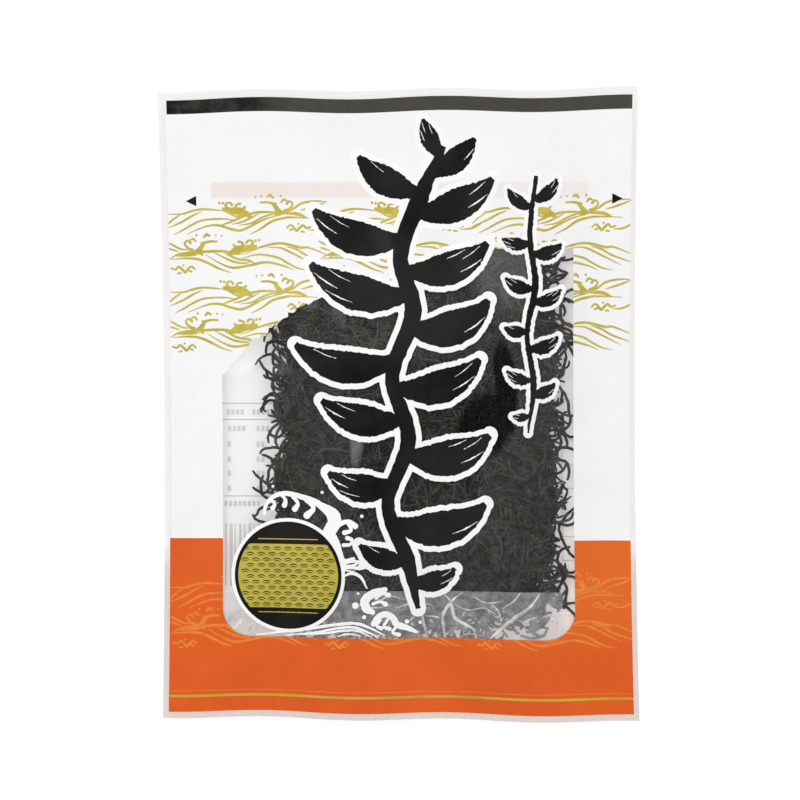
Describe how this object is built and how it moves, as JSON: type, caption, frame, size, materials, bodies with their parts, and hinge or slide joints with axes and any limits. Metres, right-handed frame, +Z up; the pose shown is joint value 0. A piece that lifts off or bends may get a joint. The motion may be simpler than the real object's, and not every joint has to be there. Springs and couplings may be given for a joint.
{
  "type": "pouch of dried hijiki",
  "caption": "Flat heat-sealed film pouch lying on its back, printed in front and filled with short curled strands of dried hijiki seaweed, seen through a clear window.",
  "frame": {"origin": "on the table under the middle of the pouch's bounding box", "axes": "+Z up from the table, +Y from the bottom seal to the top seal, +X to the right as the print is read"},
  "size_m": [0.1368, 0.1808, 0.0139],
  "materials": {
    "clear_film": "gloss",
    "dried_seaweed": "matt, dry and fibrous"
  },
  "bodies": {
    "root": {"film_front": "clear_film", "film_back": "clear_film", "hijiki_heap": "dried_seaweed"}
  },
  "joints": []
}
